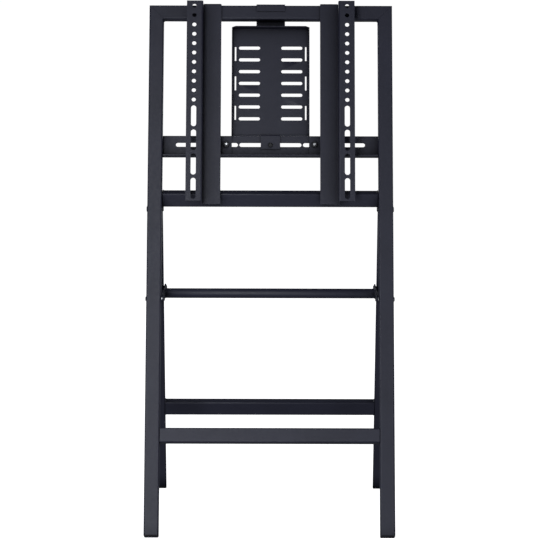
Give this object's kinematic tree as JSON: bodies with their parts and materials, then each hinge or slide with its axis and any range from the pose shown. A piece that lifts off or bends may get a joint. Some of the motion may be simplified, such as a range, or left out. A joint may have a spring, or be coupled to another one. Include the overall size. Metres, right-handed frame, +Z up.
{
  "type": "display floor stand",
  "caption": "Folding A-frame floor stand of dark powder-coated tube, with two sliding arms for a flat display, a slotted cross angle and a hanging tray for a small media box.",
  "frame": {"origin": "on the floor under the middle of the open stand's outline", "axes": "+Z up; -Y is the front, where the display hangs; +X is to the right as seen from the front"},
  "size_m": [0.5088, 0.4746, 1.0399],
  "materials": {
    "powder_coat": "fine-textured satin powder coat over mild steel",
    "foot_plastic": "moulded, matte",
    "black_fastener": "blackened steel, slightly oily sheen",
    "zinc_fastener": "bright zinc plating",
    "nylon": "natural nylon"
  },
  "bodies": {
    "front_frame": {"front_leg_left": "powder_coat", "front_leg_right": "powder_coat", "top_rail": "powder_coat", "front_crossbar": "powder_coat", "slotted_angle": "powder_coat", "front_foot_left": "foot_plastic", "front_foot_right": "foot_plastic", "hinge_bolts": "black_fastener", "hinge_cap_nuts": "black_fastener", "hinge_bushes": "nylon", "brace_bolts": "black_fastener", "brace_nuts": "black_fastener", "brace_spacers": "zinc_fastener", "tray": "powder_coat", "tray_hanger": "powder_coat", "tray_screw": "black_fastener", "tray_nut": "zinc_fastener"},
    "rear_frame": {"rear_leg_left": "powder_coat", "rear_leg_right": "powder_coat", "rear_top_crossbar": "powder_coat", "rear_crossbar": "powder_coat", "hinge_tongue_left": "powder_coat", "hinge_tongue_right": "powder_coat", "stop_plate_left": "powder_coat", "stop_plate_right": "powder_coat", "rear_foot_left": "foot_plastic", "rear_foot_right": "foot_plastic", "hook_studs": "black_fastener", "hook_nuts": "black_fastener"},
    "brace": {"brace_arm_left": "powder_coat", "brace_arm_right": "powder_coat", "brace_tube": "powder_coat"},
    "arm_left": {"arm_left": "powder_coat", "arm_left_nut": "black_fastener", "arm_left_screw": "zinc_fastener", "arm_left_washer": "zinc_fastener"},
    "arm_right": {"arm_right": "powder_coat", "arm_right_nut": "black_fastener", "arm_right_screw": "zinc_fastener", "arm_right_washer": "zinc_fastener"}
  },
  "joints": [
    {"name": "rear_fold", "type": "hinge", "parent": "front_frame", "child": "rear_frame", "pos_m": [0, 0.01916, 0.62378], "axis": [-1, 0, 0], "range_deg": [0, 38]},
    {"name": "brace_lift", "type": "hinge", "parent": "front_frame", "child": "brace", "pos_m": [0, -0.04938, 0.4498], "axis": [1, 0, 0], "range_deg": [0, 68]},
    {"name": "arm_left_slide", "type": "slide", "parent": "front_frame", "child": "arm_left", "axis": [-1, 0, 0], "range_m": [-0.018, 0.1]},
    {"name": "arm_right_slide", "type": "slide", "parent": "front_frame", "child": "arm_right", "axis": [1, 0, 0], "range_m": [-0.018, 0.1]}
  ],
  "couplings": [
    {"joint": "brace_lift", "follows": "rear_fold", "ratio": 1.7893}
  ]
}
